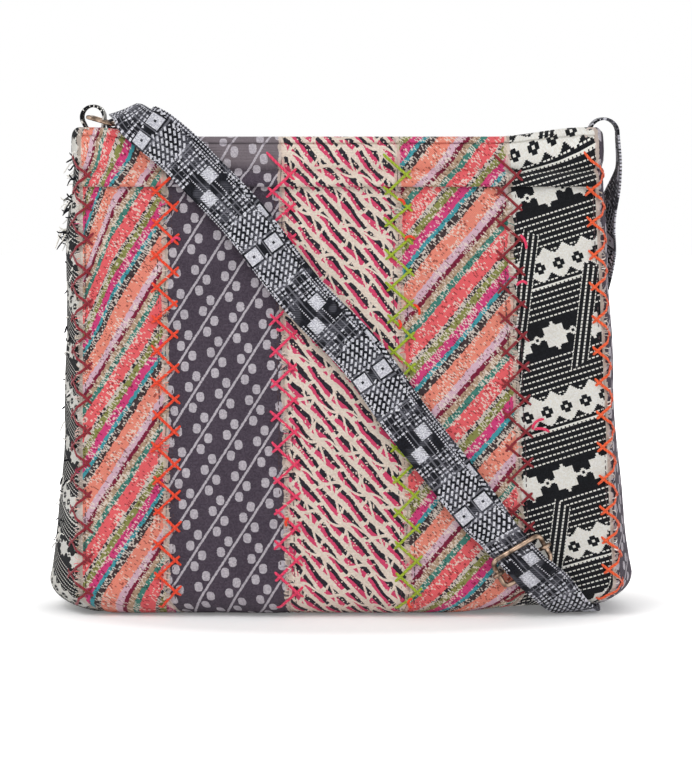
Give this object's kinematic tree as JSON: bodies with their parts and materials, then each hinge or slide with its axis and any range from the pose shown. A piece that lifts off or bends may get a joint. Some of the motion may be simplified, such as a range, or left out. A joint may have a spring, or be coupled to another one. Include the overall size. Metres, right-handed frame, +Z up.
{
  "type": "patchwork crossbody bag",
  "caption": "Boxy patchwork crossbody bag of woven cloth strips with cross-stitched seams, rolled hem, top zip and a long adjustable woven strap.",
  "frame": {"origin": "centre of the base on the floor", "axes": "+X to the bag's right seen from the front, -Y towards the front panel, +Z up"},
  "size_m": [0.3555, 0.1105, 0.3044],
  "materials": {
    "stripe_cloth": "striped woven cotton, salmon, lilac, teal, coral and magenta stripes on the bias",
    "dotted_cloth": "grey-purple woven cotton with pale paired dots and thin diagonal lines",
    "scale_cloth": "cream woven cotton with pink and black slanted dashes",
    "star_cloth": "black and cream geometric jacquard with stars and diamonds",
    "lining_cloth": "plain dark cotton lining",
    "strap_webbing": "charcoal and white patterned woven band",
    "zip_tape": "black herringbone zip tape",
    "zip_coil": "black nylon coil",
    "antique_brass": "brushed antique brass plating",
    "thread_dark_red": "heavy dark red cotton thread",
    "thread_orange_red": "heavy orange-red cotton thread",
    "thread_pink": "heavy hot pink cotton thread",
    "thread_lime": "heavy lime green cotton thread",
    "thread_orange": "heavy orange cotton thread"
  },
  "bodies": {
    "bag": {"front_strip_stripe_left": "stripe_cloth", "front_strip_dotted": "dotted_cloth", "front_strip_scale": "scale_cloth", "front_strip_stripe_right": "stripe_cloth", "front_strip_star": "star_cloth", "back_strip_scale_left": "scale_cloth", "back_strip_stripe_left": "stripe_cloth", "back_strip_dotted": "dotted_cloth", "back_strip_scale_right": "scale_cloth", "back_strip_stripe_right": "stripe_cloth", "gusset_left": "star_cloth", "gusset_right": "dotted_cloth", "base_panel": "dotted_cloth", "lining": "lining_cloth", "zip_tape_front": "zip_tape", "zip_tape_back": "zip_tape", "zip_teeth": "zip_coil", "zip_stop_right": "antique_brass", "tab_left": "star_cloth", "strap": "strap_webbing", "stitch_row_front_1": "thread_dark_red", "stitch_row_front_2": "thread_orange_red", "stitch_row_front_3": "thread_pink", "stitch_row_front_4": "thread_lime", "stitch_row_front_5": "thread_dark_red", "stitch_row_front_6": "thread_orange", "stitch_row_back_1": "thread_dark_red", "stitch_row_back_2": "thread_orange_red", "stitch_row_back_3": "thread_pink", "stitch_row_back_4": "thread_lime", "stitch_row_back_5": "thread_dark_red", "stitch_row_back_6": "thread_orange"},
    "ring_left": {"ring_left": "antique_brass"},
    "adjuster": {"adjuster_frame": "antique_brass"},
    "adjuster_bar": {"adjuster_bar": "antique_brass"},
    "zip_slider": {"zip_slider": "antique_brass"},
    "zip_puller": {"zip_puller": "antique_brass"}
  },
  "joints": [
    {"name": "ring_left_swing", "type": "hinge", "parent": "bag", "child": "ring_left", "pos_m": [-0.15196, 0, 0.297], "axis": [0, -1, 0], "range_deg": [-4, 80], "deforming": ["strap"]},
    {"name": "strap_adjust", "type": "slide", "parent": "bag", "child": "adjuster", "axis": [-0.6422, 0.059, 0.7643], "range_m": [0, 0.08], "deforming": ["strap"]},
    {"name": "adjuster_bar_slide", "type": "slide", "parent": "adjuster", "child": "adjuster_bar", "axis": [0.5069, -0.0466, -0.8608], "range_m": [-0.002, 0.0015], "deforming": ["strap"]},
    {"name": "zip_slide", "type": "slide", "parent": "bag", "child": "zip_slider", "axis": [1, 0, 0], "range_m": [-0.23, 0], "deforming": ["zip_teeth"]},
    {"name": "zip_puller_swing", "type": "hinge", "parent": "zip_slider", "child": "zip_puller", "pos_m": [0.10969, 0, 0.2764], "axis": [0, -1, 0], "range_deg": [0, 120]}
  ]
}
